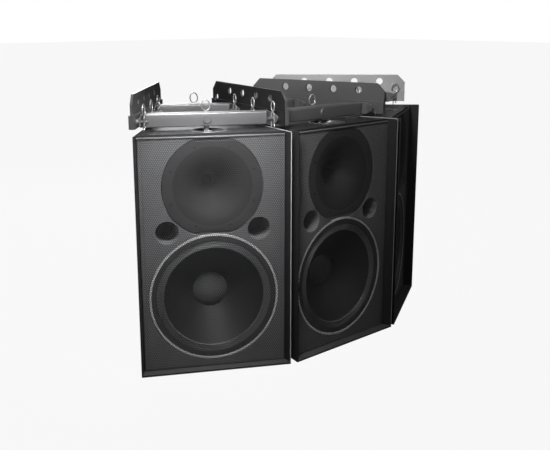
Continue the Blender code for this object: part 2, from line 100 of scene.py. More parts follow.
def surface(name, rgb, rough, metal=0.0, grain=600.0, bump=0.15, tone=0.15, coat=0.0):
    """Procedural surface: fine grain bump with uneven tone and gloss."""
    mat = bpy.data.materials.new(name)
    mat.use_nodes = True
    nodes, links = mat.node_tree.nodes, mat.node_tree.links
    shader = nodes["Principled BSDF"]
    shader.inputs["Metallic"].default_value = metal
    shader.inputs["Coat Weight"].default_value = coat
    coords = nodes.new("ShaderNodeTexCoord")
    wide = nodes.new("ShaderNodeTexNoise")
    wide.inputs["Scale"].default_value = BLOTCH_SCALE
    wide.inputs["Detail"].default_value = 6.0
    fine = nodes.new("ShaderNodeTexNoise")
    fine.inputs["Scale"].default_value = grain
    fine.inputs["Detail"].default_value = 3.0
    links.new(coords.outputs["Object"], wide.inputs["Vector"])
    links.new(coords.outputs["Object"], fine.inputs["Vector"])
    ramp = nodes.new("ShaderNodeMapRange")
    ramp.inputs["To Min"].default_value = 1.0 - tone
    ramp.inputs["To Max"].default_value = 1.0 + tone
    links.new(wide.outputs["Fac"], ramp.inputs["Value"])
    tint = nodes.new("ShaderNodeVectorMath")
    tint.operation = "SCALE"
    tint.inputs[0].default_value = rgb
    links.new(ramp.outputs["Result"], tint.inputs["Scale"])
    links.new(tint.outputs["Vector"], shader.inputs["Base Color"])
    gloss = nodes.new("ShaderNodeMapRange")
    gloss.inputs["To Min"].default_value = rough - GLOSS_SPREAD
    gloss.inputs["To Max"].default_value = rough + GLOSS_SPREAD
    links.new(fine.outputs["Fac"], gloss.inputs["Value"])
    links.new(gloss.outputs["Result"], shader.inputs["Roughness"])
    relief = nodes.new("ShaderNodeBump")
    relief.inputs["Strength"].default_value = bump
    relief.inputs["Distance"].default_value = BUMP_DEPTH
    links.new(fine.outputs["Fac"], relief.inputs["Height"])
    links.new(relief.outputs["Normal"], shader.inputs["Normal"])
    return mat


LOOKS = {
    "cabinet": surface("cabinet_paint", (0.020, 0.020, 0.021), 0.45, grain=700.0, bump=0.35, coat=0.05),
    # painted light: the ledge is part of the black enclosure, coloured lighter grey for the light falling on
    # it from above
    "ledge": surface("ledge_painted_light", (0.075, 0.075, 0.077), 0.45, grain=700.0, bump=0.2),
    # painted highlight: light grey standing in for the light caught along the right-hand panel's front and
    # top edges
    "lit_edge": surface("edge_painted_highlight", (0.55, 0.55, 0.555), 0.35, metal=0.2, grain=700.0, bump=0.1),
    "wall": surface("wall_paint", (0.022, 0.022, 0.0225), 0.7, grain=700.0, bump=0.35),
    "baffle": surface("baffle_paint", (0.200, 0.200, 0.204), 0.7, grain=500.0, bump=0.3),
    "grille": surface("grille_coat", (0.050, 0.050, 0.052), 0.45, metal=0.3, grain=900.0, bump=0.1),
    # painted highlight: the folded rim wears a lighter copy of the grille coating for the light caught by its
    # rounded edge
    "grille_rim_painted_highlight": surface("grille_rim_painted_highlight", (0.11, 0.11, 0.113), 0.5, metal=0.3, grain=900.0, bump=0.1),
    "horn": surface("horn_moulding", (0.026, 0.026, 0.0265), 0.72, grain=800.0, bump=0.15),
    "flange": surface("flange_moulding", (0.050, 0.050, 0.052), 0.6, grain=800.0, bump=0.15),
    "basket": surface("basket_enamel", (0.075, 0.075, 0.077), 0.5, metal=0.1, grain=500.0, bump=0.12),
    "trim": surface("trim_aluminium", (0.92, 0.92, 0.92), 0.4, metal=0.1, grain=400.0, bump=0.05, tone=0.05),
    "port": surface("port_lip", (0.27, 0.27, 0.274), 0.45, grain=500.0, bump=0.1),
    "cone": surface("cone_paper", (0.024, 0.024, 0.0245), 0.58, grain=350.0, bump=0.4, tone=0.25),
    "surround": surface("surround_cloth", (0.19, 0.19, 0.194), 0.34, grain=900.0, bump=0.2),
    "cap": surface("dust_cap", (0.14, 0.14, 0.142), 0.36, grain=300.0, bump=0.1),
    "frame": surface("frame_powder", (0.19, 0.19, 0.194), 0.40, metal=0.7, grain=650.0, bump=0.22, tone=0.12),
    # painted light: a lighter copy of the frame powder, so the cross tubes read brighter as if more lit
    "frame_tube_painted_light": surface("tube_powder_painted_light", (0.235, 0.235, 0.24), 0.40,
                          metal=0.7, grain=650.0, bump=0.22, tone=0.12),
    # painted shadow: near black for the one plate face that sits in shade
    "frame_painted_shadow": surface("frame_painted_shadow_powder", (0.012, 0.012, 0.0125), 0.5, metal=0.3, grain=650.0, bump=0.22),
    # painted light: a much lighter copy of the frame powder for the plate that catches the most light
    "frame_painted_light": surface("frame_painted_light_powder", (0.60, 0.60, 0.605), 0.40,
                           metal=0.6, grain=650.0, bump=0.22, tone=0.12),
    "zinc": surface("zinc_steel", (0.26, 0.26, 0.27), 0.36, metal=0.85, grain=300.0, bump=0.1, tone=0.3),
    "pan": surface("pan_steel", (0.16, 0.16, 0.165), 0.35, metal=0.5, grain=400.0, bump=0.2, tone=0.3),
    "wire": surface("spring_wire", (0.52, 0.52, 0.52), 0.32, metal=0.7, grain=200.0, bump=0.03, tone=0.1),
    "socket": surface("socket_plastic", (0.020, 0.020, 0.022), 0.35, grain=600.0, bump=0.1),
    "magnet": surface("magnet_steel", (0.050, 0.050, 0.055), 0.4, metal=0.6, grain=400.0, bump=0.2),
}


# ---------- mesh tools ----------

def put(name, bm, look, place, body, nodes=(), bevel=0.0, smooth=True, accents=()):
    """Finish a bmesh as a shown piece that rides on a body and may stand for CAD nodes.

    Accents are (look, test) pairs: a face whose local centre passes the test wears that look.
    """
    bm.faces.ensure_lookup_table()
    for index, (_, test) in enumerate(accents):
        for face in bm.faces:
            if test(face.calc_center_median()):
                face.material_index = index + 1
    bmesh.ops.transform(bm, matrix=place, verts=bm.verts)
    bmesh.ops.recalc_face_normals(bm, faces=bm.faces)
    for face in bm.faces:
        face.smooth = smooth
    mesh = bpy.data.meshes.new(name)
    bm.to_mesh(mesh)
    bm.free()
    if smooth:
        mesh.set_sharp_from_angle(angle=SMOOTH_ANGLE)
    for look_name in (look,) + tuple(name for name, _ in accents):
        mesh.materials.append(LOOKS[look_name])
    obj = bpy.data.objects.new(name, mesh)
    bpy.context.scene.collection.objects.link(obj)
    if bevel:
        mod = obj.modifiers.new("edge", "BEVEL")
        mod.width = bevel
        mod.segments = 3
        mod.limit_method = "ANGLE"
        mod.angle_limit = BEVEL_ANGLE
        mod.harden_normals = False
        mod.use_clamp_overlap = True
    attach(obj, body)
    if nodes:
        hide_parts(*nodes)


def boolean(bm, other, operation):
    """Apply one exact boolean and return the result; both inputs are freed."""
    meshes = []
    for part in (bm, other):
        bmesh.ops.recalc_face_normals(part, faces=part.faces)
        mesh = bpy.data.meshes.new("scratch")
        part.to_mesh(mesh)
        part.free()
        meshes.append(mesh)
    base = bpy.data.objects.new("scratch_base", meshes[0])
    tool = bpy.data.objects.new("scratch_tool", meshes[1])
    for obj in (base, tool):
        bpy.context.scene.collection.objects.link(obj)
    mod = base.modifiers.new("boolean", "BOOLEAN")
    mod.operation = operation
    mod.solver = "EXACT"
    mod.object = tool
    graph = bpy.context.evaluated_depsgraph_get()
    result = bmesh.new()
    result.from_mesh(base.evaluated_get(graph).to_mesh())
    for obj in (base, tool):
        bpy.data.objects.remove(obj)
    for mesh in meshes:
        bpy.data.meshes.remove(mesh)
    bmesh.ops.remove_doubles(result, verts=result.verts, dist=1e-6)
    return result


def cut(bm, *tools):
    """Cut each tool away in turn."""
    for tool in tools:
        bm = boolean(bm, tool, "DIFFERENCE")
    return bm


def join(bm, *tools):
    """Merge each tool in turn."""
    for tool in tools:
        bm = boolean(bm, tool, "UNION")
    return bm


def prism(plan, z0, z1):
    """Upright solid over an (x, y) plan."""
    bm = bmesh.new()
    low = [bm.verts.new((x, y, z0)) for x, y in plan]
    high = [bm.verts.new((x, y, z1)) for x, y in plan]
    bm.faces.new(low[::-1])
    bm.faces.new(high)
    for i in range(len(plan)):
        j = (i + 1) % len(plan)
        bm.faces.new((low[i], low[j], high[j], high[i]))
    return bm


def box(x0, x1, y0, y1, z0, z1):
    """Plain block."""
    return prism([(x0, y0), (x1, y0), (x1, y1), (x0, y1)], z0, z1)


def revolve(profile, segments=ROUND):
    """Turn a closed (radius, y) outline about Y."""
    bm = bmesh.new()
    rings = []
    for radius, y in profile:
        if radius < 1e-7:
            rings.append([bm.verts.new((0.0, y, 0.0))])
            continue
        rings.append([bm.verts.new((radius * math.cos(2 * math.pi * i / segments), y,
                                    radius * math.sin(2 * math.pi * i / segments))) for i in range(segments)])
    for a, b in zip(rings, rings[1:] + rings[:1]):
        for i in range(segments):
            j = (i + 1) % segments
            if len(a) == 1 and len(b) == 1:
                break
            if len(a) == 1:
                bm.faces.new((a[0], b[i], b[j]))
            elif len(b) == 1:
                bm.faces.new((a[i], b[0], a[j]))
            else:
                bm.faces.new((a[i], b[i], b[j], a[j]))
    return bm


def shaft(steps, axis, segments=MID, centre=(0.0, 0.0, 0.0), ease=0.0):
    """Stepped round shaft along X, Y or Z; ease rounds the ends of each step."""
    profile = [(0.0, steps[0][1])]
    for radius, start, end in steps:
        if ease:
            eased = math.copysign(ease, end - start)
            profile += [(radius - ease, start), (radius, start + eased)]
            profile += [(radius, end - eased), (radius - ease, end)]
        else:
            profile += [(radius, start), (radius, end)]
    profile.append((0.0, steps[-1][2]))
    bm = revolve(profile, segments)
    turn = {"X": Matrix.Rotation(-math.pi / 2, 4, "Z"), "Y": Matrix.Identity(4),
            "Z": Matrix.Rotation(math.pi / 2, 4, "X")}[axis]
    bmesh.ops.transform(bm, matrix=Matrix.Translation(centre) @ turn, verts=bm.verts)
    return bm


def rod(radius, start, end, axis, segments=MID, centre=(0.0, 0.0, 0.0)):
    """Plain round bar along X, Y or Z."""
    return shaft([(radius, start, end)], axis, segments, centre)


def wire(points, radius, sides):
    """Round wire along a smooth path."""
    bm = bmesh.new()
    rings = []
    for i, point in enumerate(points):
        tangent = (points[min(i + 1, len(points) - 1)] - points[max(i - 1, 0)]).normalized()
        side = tangent.cross(Vector((0.0, 1.0, 0.0))).normalized()
        up = side.cross(tangent)
        rings.append([bm.verts.new(point + radius * (math.cos(2 * math.pi * k / sides) * side
                                                     + math.sin(2 * math.pi * k / sides) * up))
                      for k in range(sides)])
    for a, b in zip(rings, rings[1:]):
        for k in range(sides):
            m = (k + 1) % sides
            bm.faces.new((a[k], a[m], b[m], b[k]))
    bm.faces.new(rings[0][::-1])
    bm.faces.new(rings[-1])
    return bm


# ---------- frames ----------

def turned(angle, point):
    """Placement at a point, turned about Z."""
    return Matrix.Translation(point) @ Matrix.Rotation(angle, 4, "Z")


def cabinet_frame(side):
    """Placement of the left (-1), middle (0) or right (1) cabinet."""
    if side == 0:
        return turned(0.0, (0.0, -ORIGIN_DEPTH, 0.0))
    normal = Vector((side * math.cos(TAPER), math.sin(TAPER), 0.0))
    corner = Vector((side * CAB_W / 2, -ORIGIN_DEPTH, 0.0)) + normal * CAB_GAP
    spin = Matrix.Rotation(side * SPLAY, 4, "Z")
    return turned(side * SPLAY, corner - spin @ Vector((-side * CAB_W / 2, 0.0, 0.0)))


def plate_frame(index):
    """Placement of a side plate: X across it, Y back along it."""
    side = -1 if index < 2 else 1
    normal = Vector((side * math.cos(TAPER), math.sin(TAPER), 0.0))
    tip = Vector((side * CAB_W / 2, 0.0, 0.0)) + normal * (CAB_GAP / 2)
    return cabinet_frame((-1, 0, 0, 1)[index]) @ turned(side * TAPER, tip)


def half_width(y, inset):
    """Half the cabinet's width at depth y, less an inset square to the side."""
    return CAB_W / 2 - y * math.tan(TAPER) - inset / math.cos(TAPER)


def slab(y0, y1, inset, z0, z1):
    """Tapered block between two depths."""
    a, b = half_width(y0, inset), half_width(y1, inset)
    return prism([(-a, y0), (a, y0), (b, y1), (-b, y1)], z0, z1)


# ---------- cabinet ----------

def enclosure(tag, place):
    """Box with its open front recess, and thin strips along the right-hand side panel's front and top edges
    that carry a painted highlight.
    """
    bm = slab(0.0, CAB_D, 0.0, 0.0, CAB_H)
    bm = cut(bm, slab(-OVER, WING_D, WING_T, LEDGE_T, CAB_H + OVER),
             slab(WING_D - 0.001, CAB_D - PANEL_T, PANEL_T, PANEL_T, CAB_H - PANEL_T))
    for y in TUBE_YS:
        seat = rod(PAN_R + 2 * FIT, CAB_H - 3 * OVER, CAB_H + OVER, "Z", ROUND, (0.0, y - PAN_AHEAD, 0.0))
        bm = cut(bm, seat)
    x0, x1, z0, z1 = SOCKET_OPEN
    bm = cut(bm, box(x0, x1, CAB_D - 3 * OVER, CAB_D + OVER, z0, z1))
    # the ledge's faces wear the lighter grey of painted light
    accents = (("ledge", lambda c: c.y < WING_D - 0.001 and 0.0005 < c.z < LEDGE_T + 0.001),
               ("baffle", lambda c: abs(c.y - WING_D) < 0.0005),
               ("wall", lambda c: abs(abs(c.x) - half_width(c.y, 0.0)) < 0.001))
    put("cabinet_" + tag, bm, "cabinet", place, "cluster", ["enclosure_" + tag],
        bevel=0.0009, accents=accents)
    near, far = EDGE_NEAR, EDGE_FAR
    back = CAB_D - 0.002
    # front and top strips on the right-hand panel, coloured light grey as a painted highlight
    front = prism([(half_width(0.0, far), -0.0001), (half_width(0.0, near), -0.0001),
                   (half_width(0.0, near), 0.0004), (half_width(0.0, far), 0.0004)], 0.004, CAB_H - 0.0005)
    top = prism([(half_width(0.001, far), 0.001), (half_width(0.001, near), 0.001),
                 (half_width(back, near), back), (half_width(back, far), back)],
                CAB_H - 0.0004, CAB_H + EDGE_PROUD)
    lip = slab(WING_D - 0.0004, WING_D + 0.0006, WING_T + 0.0002, CAB_H - 0.0062, CAB_H - 0.0001)
    put("top_lip_" + tag, lip, "cabinet", place, "cluster")
    put("edge_front_" + tag, front, "lit_edge", place, "cluster")
    put("edge_top_" + tag, top, "lit_edge", place, "cluster")


def baffle(tag, place):
    """Board with shallow seats for the drivers, its face level with the panels' front edges."""
    bm = slab(WING_D + 0.0002, BAFFLE_Y0 + BAFFLE_T, PANEL_T + FIT, PANEL_T + FIT, CAB_H - PANEL_T - FIT)
    bm = cut(bm, rod(WOOFER_RING_R + 0.0020, 0.0, BAFFLE_Y0, "Y", ROUND, (0.0, 0.0, WOOFER_Z)))
    bm = cut(bm, rod(HORN_FLANGE_R + 0.002, 0.0, BAFFLE_Y0 + 0.0001, "Y", ROUND, (0.0, 0.0, HORN_Z)))
    for x in (-PORT_X, PORT_X):
        bm = cut(bm, rod(PORT_RIM - 0.001, 0.0, 10 * OVER, "Y", ROUND, (x, 0.0, PORT_Z)))
    bm = cut(bm, rod(WOOFER_HOLE_R, 0.0, 10 * OVER, "Y", ROUND, (0.0, 0.0, WOOFER_Z)),
             rod(HORN_HOLE_R, 0.0, 10 * OVER, "Y", ROUND, (0.0, 0.0, HORN_Z)))
    put("baffle_board_" + tag, bm, "baffle", place, "cluster", ["baffle_" + tag], bevel=0.0006)
    lip = [(PORT_RIM, -0.0002), (PORT_RIM - 0.0006, -0.0012), (PORT_RIM - 0.0018, -0.0014),
           (PORT_R + 0.0006, -0.0004), (PORT_R, 0.003), (PORT_R, BAFFLE_T + PORT_LEN),
           (PORT_R + 0.0022, BAFFLE_T + PORT_LEN), (PORT_R + 0.0022, 0.001)]
    for hand, x in (("l", -PORT_X), ("r", PORT_X)):
        put("port_tube_%s_%s" % (hand, tag), revolve(lip), "port",
            place @ Matrix.Translation((x, WING_D + 0.0016, PORT_Z)), "cluster")


def perforated(half, z0, z1, pitch, radius):
    """Flat sheet of hexagon cells with round-ish holes, in the XZ plane."""
    bm = bmesh.new()
    row_h = pitch * math.sqrt(3) / 2
    outer_r = pitch / math.sqrt(3)
    corners = {}

    def corner(x, z):
        key = (round(x * 1e6 / 40), round(z * 1e6 / 40))
        if key not in corners:
            corners[key] = bm.verts.new((x, 0.0, z))
        return corners[key]

    rows = int((z1 - z0) / row_h)
    cols = int(2 * half / pitch)
    for r in range(rows):
        z = z0 + (r + 0.5) * row_h
        shift = 0.5 if r % 2 else 0.0
        for c in range(cols):
            x = (c - (cols - 1) / 2 + shift - 0.25) * pitch
            angles = [math.pi / 6 + i * math.pi / 3 for i in range(6)]
            ring = [corner(x + outer_r * math.cos(a), z + outer_r * math.sin(a)) for a in angles]
            hole = [bm.verts.new((x + radius * math.cos(a), 0.0, z + radius * math.sin(a))) for a in angles]
            for i in range(6):
                j = (i + 1) % 6
                bm.faces.new((ring[i], ring[j], hole[j], hole[i]))
    return bm


def picture_frame(half, z0, z1, profile):
    """Mitred border swept round a rectangle; profile is (inset, y)."""
    bm = bmesh.new()
    loops = []
    for inset, y in profile:
        a = half - inset
        loops.append([bm.verts.new(p) for p in ((-a, y, z0 + inset), (a, y, z0 + inset),
                                                (a, y, z1 - inset), (-a, y, z1 - inset))])
    for a, b in zip(loops, loops[1:] + loops[:1]):
        for i in range(4):
            j = (i + 1) % 4
            bm.faces.new((a[i], a[j], b[j], b[i]))
    return bm


def grille(tag, place):
    """Folded rim and the perforated sheet inside it."""
    half = half_width(GRILLE_Y0, WING_T + 2 * FIT) - 0.0002
    z0, z1 = LEDGE_T + FIT, CAB_H - GRILLE_TOP_DROP
    y0, y1 = GRILLE_Y0, GRILLE_Y1
    edge = [(0.0012, y1), (0.0008, y0 + 0.0026), (0.0010, y0 + 0.0016), (0.0016, y0 + 0.0008),
            (0.0026, y0 + 0.0002), (GRILLE_BORDER, y0), (GRILLE_BORDER, y0 + 0.0012),
            (GRILLE_BORDER, y0 + 0.0014), (0.0024, y1)]
    rim = picture_frame(half, z0, z1, edge)
    # the rim's lighter coating is a painted highlight
    put("grille_edge_" + tag, rim, "grille_rim_painted_highlight", place, "cluster")
    sheet = perforated(half, z0, z1, HOLE_PITCH, HOLE_R)
    put("grille_sheet_" + tag, sheet, "grille", place @ Matrix.Translation((0.0, y0 + 0.0005, 0.0)),
        "cluster", ["grille_" + tag], smooth=False)


def horn(tag, place):
    """Flare with its flattened flange, flange screws and the driver behind."""
    f = -FLANGE_T
    curve = []
    for i in range(25):
        t = i / 24
        radius = HORN_MOUTH_R + (HORN_THROAT_R - HORN_MOUTH_R) * (1 - (1 - t) ** 1.9)
        curve.append((radius, f + 0.0005 + HORN_DEEP * t ** 1.55))
    back = [(0.040, 0.130), (0.040, 0.122), (0.026, 0.120)]
    back += [(r + HORN_SKIN, y + 0.003) for r, y in curve[3:20]][::-1]
    profile = [(HORN_MOUTH_R + 0.0022, f)] + curve + back
    profile += [(HORN_HOLE_R - 0.002, 0.004), (HORN_HOLE_R - 0.002, -FIT), (HORN_FLANGE_R, -FIT),
                (HORN_FLANGE_R, f + 0.0008), (HORN_FLANGE_R - 0.0008, f)]
    bm = revolve(profile, 96)
    for sign in (-1, 1):
        z0, z1 = sorted((sign * HORN_FLAT, sign * 0.2))
        bm = cut(bm, box(-0.2, 0.2, f - 0.01, 0.0, z0, z1))
    here = place @ Matrix.Translation((0.0, BAFFLE_Y0, HORN_Z))
    put("horn_flare_" + tag, bm, "horn", here, "cluster", ["horn_" + tag],
        accents=(("flange", lambda c: c.y < f + 0.0004),))
    screws = bmesh.new()
    for i in range(HORN_SCREWS):
        a = 2 * math.pi * (i + 0.5) / HORN_SCREWS
        spot = (HORN_SCREW_RING * math.cos(a) * 0.98, 0.0, HORN_SCREW_RING * math.sin(a) * 0.93)
        add = shaft([(HORN_SCREW_R, f - 0.0012, f + 0.001)], "Y", 16, spot, ease=0.0006)
        mesh = bpy.data.meshes.new("screw")
        add.to_mesh(mesh)
        add.free()
        screws.from_mesh(mesh)
        bpy.data.meshes.remove(mesh)
    put("horn_screws_" + tag, screws, "horn", here, "cluster")
    driver = [(0.0, 0.0), (0.040, 0.0), (0.044, 0.010), (0.074, 0.012), (0.075, 0.014), (0.075, 0.051),
              (0.073, 0.053), (0.058, 0.056), (0.052, 0.068), (0.049, 0.071), (0.0, 0.072)]
    behind = place @ Matrix.Translation((0.0, BAFFLE_Y0 + HORN_DRIVER_Y, HORN_Z))
    put("driver_" + tag, revolve(driver), "magnet", behind, "cluster", ["compression_driver_" + tag])


def woofer(tag, place):
    """Basket and bright bead on the cabinet; surround, ribbed cone and dust cap on the moving body."""
    here = place @ Matrix.Translation((0.0, BAFFLE_Y0, WOOFER_Z))
    ring = [(0.1946, -FLANGE_T + 0.0004), (WOOFER_RING_R - 0.0004, -0.0042), (WOOFER_RING_R - 0.0004, -FIT),
            (WOOFER_HOLE_R - 0.001, -FIT), (WOOFER_HOLE_R - 0.001, 0.012), (0.100, 0.118), (0.092, 0.122),
            (0.092, 0.165), (0.0, 0.165), (0.0, 0.125), (0.080, 0.123), (0.090, 0.112), (0.1752, 0.010),
            (0.1752, -0.0036), (0.1758, -0.0044), (0.177, -0.0046)]
    put("basket_" + tag, revolve(ring, 96), "basket", here, "cluster", ["woofer_frame_" + tag])
    bead = [(0.1903, -0.0042), (0.1906, -0.0057), (0.1912, -0.0062), (0.1963, -0.0062), (0.1968, -0.0056),
            (0.1970, -0.0040), (0.1970, -0.0012), (0.1960, -0.0012), (0.1950, -0.0040)]
    put("woofer_trim_" + tag, revolve(bead, 128), "trim", here, "cluster")
    body = "cone_" + tag
    pleats = [(0.1742, -0.0010)]
    for i in range(61):
        t = i / 60
        wave = -PLEAT_H + PLEAT_H * math.cos(2 * math.pi * PLEATS * t)
        pleats.append((0.1728 - 0.0196 * t, wave - 0.0004 + 0.0008 * t))
    pleats += [(0.1524, 0.0016), (0.1524, 0.0040), (0.1742, 0.0018)]
    put("surround_" + tag, revolve(pleats, 96), "surround", here, body)
    cone = []
    for i in range(49):
        t = i / 48
        rib = CONE_RIB_H * math.sin(2 * math.pi * CONE_RIBS * t)
        cone.append((CONE_EDGE_R + (CONE_NECK_R - CONE_EDGE_R) * t, 0.0018 + CONE_DEEP * t ** 0.93 + rib))
    cone += [(CONE_NECK_R, 0.110), (0.0475, 0.110), (0.0475, 0.0905), (0.054, 0.090), (CONE_EDGE_R, 0.0055)]
    put("cone_" + tag + "_paper", revolve(cone, 96), "cone", here, body, ["woofer_cone_" + tag])
    cap = [(0.0, CAP_Y)]
    for i in range(1, 15):
        a = i / 14 * CAP_ARC
        cap.append((CAP_R * math.sin(a) / math.sin(CAP_ARC), CAP_Y + CAP_RISE * (1 - math.cos(a))))
    cap += [(0.0535, 0.0822), (0.0535, 0.0840), (0.0500, 0.0840), (0.0, 0.0700)]
    put("dust_cap_" + tag, revolve(cap), "cap", here, body)


def connector(tag, place):
    """Recessed rear plate with two round sockets and four screws."""
    bm = box(-0.050, 0.050, FIT, 0.004, -0.065, 0.065)
    bm = join(bm, box(-0.040, 0.040, -0.030, 0.002, -0.055, 0.055))
    for z in (-SOCKET_HOLE_Z, SOCKET_HOLE_Z):
        bm = join(bm, rod(0.018, 0.002, 0.008, "Y", MID, (0.0, 0.0, z)))
        bm = cut(bm, rod(0.013, -0.012, 0.02, "Y", MID, (0.0, 0.0, z)))
    here = place @ Matrix.Translation((0.0, CAB_D, SOCKET_Z))
    put("socket_plate_" + tag, bm, "socket", here, "cluster", ["connector_plate_" + tag], bevel=0.0008)
    for n, (x, z) in enumerate(((-1, -1), (1, -1), (1, 1), (-1, 1))):
        spot = (x * SOCKET_SCREW_X, 0.0, z * SOCKET_SCREW_Z)
        screw = shaft([(0.0035, 0.0038, 0.0055)], "Y", 16, spot, ease=0.0005)
        put("socket_screw_%d_%s" % (n, tag), screw, "zinc", here, "cluster")
    for n, z in enumerate((-SOCKET_HOLE_Z, SOCKET_HOLE_Z)):
        core = shaft([(0.0075, -0.0119, 0.004)], "Y", 24, (0.0, 0.0, z), ease=0.001)
        put("socket_core_%d_%s" % (n, tag), core, "socket", here, "cluster")


def pan(tag, where, y, place):
    """Dished top fitting with its lug, ears and the stud up to the tube."""
    top = TUBE_Z - TUBE_S / 2 - CAB_H - FIT
    z0 = -PAN_DEPTH
    dish = [(0.0, z0 - 0.003), (PAN_R - 0.006, z0 - 0.003), (PAN_R, z0 + 0.004),
            (PAN_R, FIT), (PAN_FLANGE_R, FIT), (PAN_FLANGE_R - 0.0006, 0.0012),
            (PAN_FLANGE_R - 0.0016, 0.0015), (PAN_R - 0.002, 0.0015),
            (PAN_R - 0.0035, 0.0006), (PAN_R - 0.0055, z0 + 0.004), (PAN_R - 0.009, z0 + 0.001), (0.0, z0)]
    bm = revolve(dish)
    stand = Matrix.Rotation(math.pi / 2, 4, "X")
    bmesh.ops.transform(bm, matrix=stand, verts=bm.verts)
    here = place @ Matrix.Translation((0.0, y - PAN_AHEAD, CAB_H))
    put("pan_dish_%s_%s" % (where, tag), bm, "pan", here, "cluster", ["pan_fitting_%s_%s" % (where, tag)])
    stud = shaft([(PAN_STUD_R, z0 - 0.001, top)], "Z", 32, (0.0, PAN_STUD_BACK, 0.0))
    put("pan_stud_%s_%s" % (where, tag), stud, "frame", here, "cluster")
    lug = revolve([(0.0, z0 + 0.0002), (0.018, z0 + 0.0002), (0.0185, z0 + 0.003), (0.016, z0 + 0.006),
                   (0.0135, -0.004), (0.0130, -0.002), (0.009, -0.0012), (0.0, -0.0008)], 48)
    bmesh.ops.transform(lug, matrix=stand, verts=lug.verts)
    lug = cut(lug, box(-0.03, 0.03, -0.0026, 0.0026, -0.0055, 0.0005))
    put("pan_lug_%s_%s" % (where, tag), lug, "zinc", here, "cluster", bevel=0.0004)
    ears = box(-0.036, -0.022, -0.005, 0.005, z0 + 0.0002, -0.0035)
    ears = join(ears, box(-0.027, 0.027, -0.0022, 0.0022, z0 + 0.002, z0 + 0.006),
                box(0.022, 0.036, -0.005, 0.005, z0 + 0.0002, -0.0035))
    put("pan_ears_%s_%s" % (where, tag), ears, "zinc", here, "cluster", bevel=0.0008)


# ---------- rigging ----------

def tube_half(y, clearance):
    """Half the span between the plates' lower bars at depth y, less a clearance."""
    return CAB_W / 2 - y * math.tan(TAPER) + (CAB_GAP / 2 - BAR_T / 2 - clearance) / math.cos(TAPER)


def tube_prism(y0, y1, z0, z1, extra, round_r):
    """Tube body along X with rounded long edges, its ends cut parallel to the plates."""
    yc, zc = (y0 + y1) / 2, (z0 + z1) / 2
    hy, hz = (y1 - y0) / 2, (z1 - z0) / 2
    section = []
    for sy, sz, start in ((1, 1, 0), (-1, 1, 90), (-1, -1, 180), (1, -1, 270)):
        for k in range(5):
            a = math.radians(start + 90.0 * k / 4)
            section.append((yc + sy * (hy - round_r) + round_r * math.cos(a),
                            zc + sz * (hz - round_r) + round_r * math.sin(a)))
    bm = bmesh.new()
    ends = []
    for side in (-1, 1):
        ends.append([bm.verts.new((side * (tube_half(y, FIT) + extra), y, z)) for y, z in section])
    bm.faces.new(ends[0][::-1])
    bm.faces.new(ends[1])
    for i in range(len(section)):
        j = (i + 1) % len(section)
        bm.faces.new((ends[0][i], ends[0][j], ends[1][j], ends[1][i]))
    return bm


def spigot_along(y):
    """Distance along a plate for a depth in the cabinet."""
    return (y - CAB_GAP / 2 * math.sin(TAPER)) / math.cos(TAPER)


def lug_plate(side, y):
    """End plate of a cross tube whose nose reaches forward over the spigot."""
    nose, back = y - LUG_REACH, y + TUBE_S / 2 - TUBE_WALL / 2
    outline = ((back, -LUG_TALL), (back, LUG_TALL), (nose + 0.024, LUG_TALL), (nose, LUG_NOSE),
               (nose, -LUG_NOSE), (nose + 0.024, -LUG_TALL))
    clear = WASHER_T + 2 * FIT
    bm = bmesh.new()
    outer = [bm.verts.new((side * tube_half(d, clear), d, z)) for d, z in outline]
    inner = [bm.verts.new((side * tube_half(d, clear + LUG_T), d, z)) for d, z in outline]
    bm.faces.new(outer)
    bm.faces.new(inner[::-1])
    for i in range(len(outline)):
        j = (i + 1) % len(outline)
        bm.faces.new((outer[i], outer[j], inner[j], inner[i]))
    normal = Vector((side * math.cos(TAPER), math.sin(TAPER), 0.0))
    tip = Vector((side * CAB_W / 2, 0.0, 0.0)) + normal * (CAB_GAP / 2)
    axis = turned(side * TAPER, tip) @ Matrix.Translation((0.0, spigot_along(y - SPIGOT_AHEAD), 0.0))
    hole = rod(PIN_R + 2 * FIT, -0.05, 0.05, "X")
    bmesh.ops.transform(hole, matrix=axis, verts=hole.verts)
    return cut(bm, hole)


def tube(tag, where, y, place):
    """Notched square tube with end lugs, the boss in front and the pin stub behind."""
    h, i = TUBE_S / 2, TUBE_S / 2 - TUBE_WALL
    bm = tube_prism(y - h, y + h, -h, h, 0.0, 0.0042)
    bm = cut(bm, tube_prism(y - i, y + i, -i, i, OVER, 0.0020))
    for side in (-1, 1):
        a, b = y - h - 0.005, y + TUBE_NOTCH_BACK
        near_a, near_b = (side * (tube_half(d, FIT) - TUBE_NOTCH + BAR_T / 2) for d in (a, b))
        far_a, far_b = (side * (tube_half(d, FIT) + 2 * OVER) for d in (a, b))
        bm = cut(bm, prism([(near_a, a), (far_a, a), (far_b, b), (near_b, b)], -h - OVER, h + OVER))
        bm = join(bm, lug_plate(side, y))
    bmesh.ops.translate(bm, vec=(0.0, -y, 0.0), verts=bm.verts)
    here = place @ Matrix.Translation((0.0, y, TUBE_Z))
    node = "cross_tube_%s_%s" % (where, tag)
    # the tube and its boss wear the lighter powder of painted light
    put("tube_%s_%s" % (where, tag), bm, "frame_tube_painted_light", here, "cluster", [node], bevel=0.0005)
    head = shaft([(BOSS_R, -h + 0.002, -h - BOSS_PROUD)], "Y", 48, ease=0.0012)
    put("tube_boss_%s_%s" % (where, tag), head, "frame_tube_painted_light", here, "cluster")
    stub = shaft([(PIN_R, h - 0.001, h + STUB_LEN)], "Y", 32, ease=0.0010)
    stub = cut(stub, rod(CLIP_HOLE_R, -OVER, OVER, "Z", 16, (0.0, h + STUB_LEN / 2, 0.0)))
    put("tube_stub_%s_%s" % (where, tag), stub, "zinc", here, "cluster")


